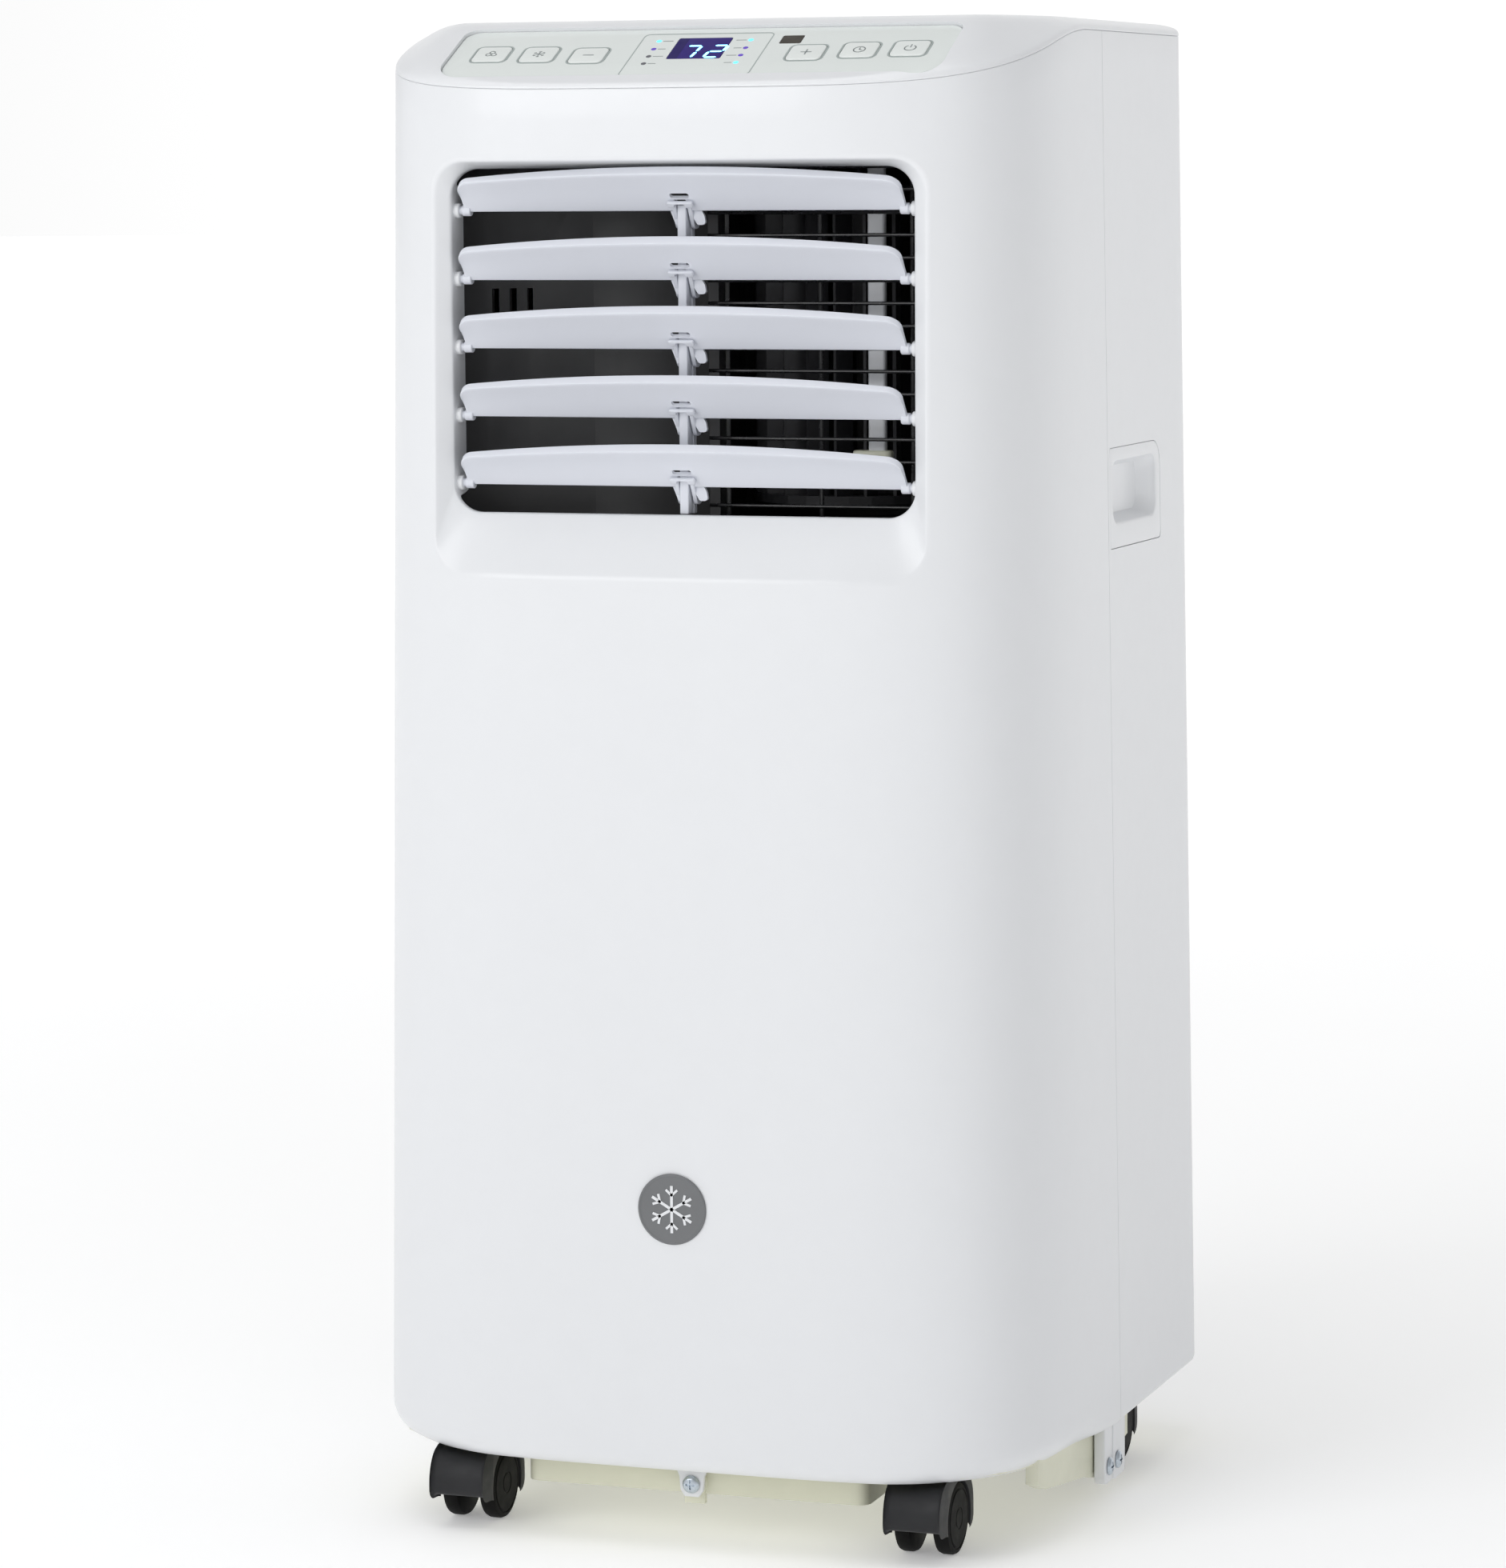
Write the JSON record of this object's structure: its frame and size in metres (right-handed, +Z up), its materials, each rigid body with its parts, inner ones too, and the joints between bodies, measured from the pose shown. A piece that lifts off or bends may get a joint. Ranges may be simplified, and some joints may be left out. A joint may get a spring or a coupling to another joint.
{
  "type": "portable room air conditioner",
  "caption": "Tall white portable air conditioner on swivel casters, with a front louvred outlet, a sloped control deck with display, side handles and a rear exhaust collar.",
  "frame": {"origin": "centre of the footprint on the floor, under the casters", "axes": "+Z up, +Y towards the rear, the air outlet faces -Y, +X to the right seen from the front"},
  "size_m": [0.3378, 0.3198, 0.703],
  "materials": {
    "white_plastic": "satin",
    "blade_plastic": "satin",
    "panel_film": "gloss",
    "key_film": "gloss",
    "display_lens": "gloss",
    "smoked_lens": "gloss",
    "badge_grey": "satin",
    "beige_plastic": "matte",
    "hood_plastic": "satin",
    "wheel_rubber": "satin",
    "guard_wire": "gloss",
    "duct_plastic": "matte",
    "fan_plastic": "satin",
    "motor_steel": "satin",
    "coil_aluminium": "satin",
    "compressor_paint": "satin",
    "board_green": "matte",
    "copper": "satin",
    "black_rubber": "matte",
    "zinc_steel": "satin"
  },
  "bodies": {
    "cabinet": {"front_shell": "white_plastic", "rear_shell": "white_plastic", "top_cover": "white_plastic", "control_panel": "panel_film", "display_window": "display_lens", "ir_window": "smoked_lens", "badge": "badge_grey", "handle_left": "white_plastic", "handle_right": "white_plastic", "base_pan": "beige_plastic", "wire_guard": "guard_wire", "air_duct": "duct_plastic", "sensor_post": "white_plastic", "blower_motor": "motor_steel", "evaporator_coil": "coil_aluminium", "partition_tray": "beige_plastic", "compressor": "compressor_paint", "condenser_coil": "coil_aluminium", "condenser_fan_motor": "motor_steel", "control_board": "board_green", "suction_pipe": "copper", "discharge_pipe": "copper", "lower_intake_grille": "white_plastic", "exhaust_collar": "white_plastic", "cord_gland": "black_rubber", "cord_hook": "white_plastic", "front_screw": "zinc_steel", "side_screw_front_left": "zinc_steel", "side_screw_rear_left": "zinc_steel", "side_screw_front_right": "zinc_steel", "side_screw_rear_right": "zinc_steel"},
    "button_fan": {"button_fan": "key_film"},
    "button_mode": {"button_mode": "key_film"},
    "button_down": {"button_down": "key_film"},
    "button_up": {"button_up": "key_film"},
    "button_timer": {"button_timer": "key_film"},
    "button_power": {"button_power": "key_film"},
    "caster_front_left": {"caster_front_left_hood": "hood_plastic"},
    "caster_front_left_wheels": {"caster_front_left_wheel_left": "wheel_rubber", "caster_front_left_wheel_right": "wheel_rubber"},
    "caster_front_right": {"caster_front_right_hood": "hood_plastic"},
    "caster_front_right_wheels": {"caster_front_right_wheel_left": "wheel_rubber", "caster_front_right_wheel_right": "wheel_rubber"},
    "caster_rear_left": {"caster_rear_left_hood": "hood_plastic"},
    "caster_rear_left_wheels": {"caster_rear_left_wheel_left": "wheel_rubber", "caster_rear_left_wheel_right": "wheel_rubber"},
    "caster_rear_right": {"caster_rear_right_hood": "hood_plastic"},
    "caster_rear_right_wheels": {"caster_rear_right_wheel_left": "wheel_rubber", "caster_rear_right_wheel_right": "wheel_rubber"},
    "louver_blade_1": {"louver_blade_1": "blade_plastic"},
    "louver_blade_2": {"louver_blade_2": "blade_plastic"},
    "louver_blade_3": {"louver_blade_3": "blade_plastic"},
    "louver_blade_4": {"louver_blade_4": "blade_plastic"},
    "louver_blade_5": {"louver_blade_5": "blade_plastic"},
    "louver_link": {"louver_link_rod": "blade_plastic"},
    "blower": {"blower_wheel": "fan_plastic"},
    "condenser_fan": {"condenser_fan_wheel": "fan_plastic"},
    "upper_intake": {"upper_intake_grille": "white_plastic", "upper_filter": "duct_plastic"},
    "drain": {"drain_plug": "black_rubber"}
  },
  "joints": [
    {"name": "button_fan_press", "type": "slide", "parent": "cabinet", "child": "button_fan", "axis": [0, 0.4472, -0.8944], "range_m": [0, 0.0008], "stiffness_N_per_m": 1500},
    {"name": "button_mode_press", "type": "slide", "parent": "cabinet", "child": "button_mode", "axis": [0, 0.4472, -0.8944], "range_m": [0, 0.0008], "stiffness_N_per_m": 1500},
    {"name": "button_down_press", "type": "slide", "parent": "cabinet", "child": "button_down", "axis": [0, 0.4472, -0.8944], "range_m": [0, 0.0008], "stiffness_N_per_m": 1500},
    {"name": "button_up_press", "type": "slide", "parent": "cabinet", "child": "button_up", "axis": [0, 0.4472, -0.8944], "range_m": [0, 0.0008], "stiffness_N_per_m": 1500},
    {"name": "button_timer_press", "type": "slide", "parent": "cabinet", "child": "button_timer", "axis": [0, 0.4472, -0.8944], "range_m": [0, 0.0008], "stiffness_N_per_m": 1500},
    {"name": "button_power_press", "type": "slide", "parent": "cabinet", "child": "button_power", "axis": [0, 0.4472, -0.8944], "range_m": [0, 0.0008], "stiffness_N_per_m": 1500},
    {"name": "caster_front_left_swivel", "type": "hinge", "parent": "cabinet", "child": "caster_front_left", "pos_m": [-0.112, -0.126, 0.0365], "axis": [0, 0, 1], "continuous": true},
    {"name": "caster_front_left_roll", "type": "hinge", "parent": "caster_front_left", "child": "caster_front_left_wheels", "pos_m": [-0.112, -0.121, 0.01685], "axis": [1, 0, 0], "continuous": true},
    {"name": "caster_front_right_swivel", "type": "hinge", "parent": "cabinet", "child": "caster_front_right", "pos_m": [0.112, -0.126, 0.0365], "axis": [0, 0, 1], "continuous": true},
    {"name": "caster_front_right_roll", "type": "hinge", "parent": "caster_front_right", "child": "caster_front_right_wheels", "pos_m": [0.112, -0.121, 0.01685], "axis": [1, 0, 0], "continuous": true},
    {"name": "caster_rear_left_swivel", "type": "hinge", "parent": "cabinet", "child": "caster_rear_left", "pos_m": [-0.136, 0.073, 0.0365], "axis": [0, 0, 1], "continuous": true},
    {"name": "caster_rear_left_roll", "type": "hinge", "parent": "caster_rear_left", "child": "caster_rear_left_wheels", "pos_m": [-0.136, 0.078, 0.01685], "axis": [1, 0, 0], "continuous": true},
    {"name": "caster_rear_right_swivel", "type": "hinge", "parent": "cabinet", "child": "caster_rear_right", "pos_m": [0.136, 0.073, 0.0365], "axis": [0, 0, 1], "continuous": true},
    {"name": "caster_rear_right_roll", "type": "hinge", "parent": "caster_rear_right", "child": "caster_rear_right_wheels", "pos_m": [0.136, 0.078, 0.01685], "axis": [1, 0, 0], "continuous": true},
    {"name": "louver_1_tilt", "type": "hinge", "parent": "cabinet", "child": "louver_blade_1", "pos_m": [0, -0.1315, 0.6163], "axis": [1, 0, 0], "range_deg": [-4, 85]},
    {"name": "louver_2_tilt", "type": "hinge", "parent": "cabinet", "child": "louver_blade_2", "pos_m": [0, -0.1315, 0.58502], "axis": [1, 0, 0], "range_deg": [-4, 85]},
    {"name": "louver_3_tilt", "type": "hinge", "parent": "cabinet", "child": "louver_blade_3", "pos_m": [0, -0.1315, 0.55374], "axis": [1, 0, 0], "range_deg": [-4, 85]},
    {"name": "louver_4_tilt", "type": "hinge", "parent": "cabinet", "child": "louver_blade_4", "pos_m": [0, -0.1315, 0.52246], "axis": [1, 0, 0], "range_deg": [-4, 85]},
    {"name": "louver_5_tilt", "type": "hinge", "parent": "cabinet", "child": "louver_blade_5", "pos_m": [0, -0.1315, 0.49118], "axis": [1, 0, 0], "range_deg": [-4, 85]},
    {"name": "louver_link_pivot", "type": "hinge", "parent": "louver_blade_1", "child": "louver_link", "pos_m": [0, -0.1255, 0.6113], "axis": [1, 0, 0], "range_deg": [-86, 6]},
    {"name": "blower_spin", "type": "hinge", "parent": "cabinet", "child": "blower", "pos_m": [0.052, -0.035, 0.553], "axis": [0, 0, 1], "continuous": true},
    {"name": "condenser_fan_spin", "type": "hinge", "parent": "cabinet", "child": "condenser_fan", "pos_m": [0.02, 0.05, 0.225], "axis": [0, 1, 0], "continuous": true},
    {"name": "upper_intake_pull", "type": "slide", "parent": "cabinet", "child": "upper_intake", "axis": [0, 1, 0], "range_m": [0, 0.03]},
    {"name": "drain_plug_pull", "type": "slide", "parent": "cabinet", "child": "drain", "axis": [0, 1, 0], "range_m": [0, 0.018]}
  ],
  "couplings": [
    {"joint": "louver_2_tilt", "follows": "louver_1_tilt", "ratio": 1},
    {"joint": "louver_3_tilt", "follows": "louver_1_tilt", "ratio": 1},
    {"joint": "louver_4_tilt", "follows": "louver_1_tilt", "ratio": 1},
    {"joint": "louver_5_tilt", "follows": "louver_1_tilt", "ratio": 1},
    {"joint": "louver_link_pivot", "follows": "louver_1_tilt", "ratio": -1}
  ]
}
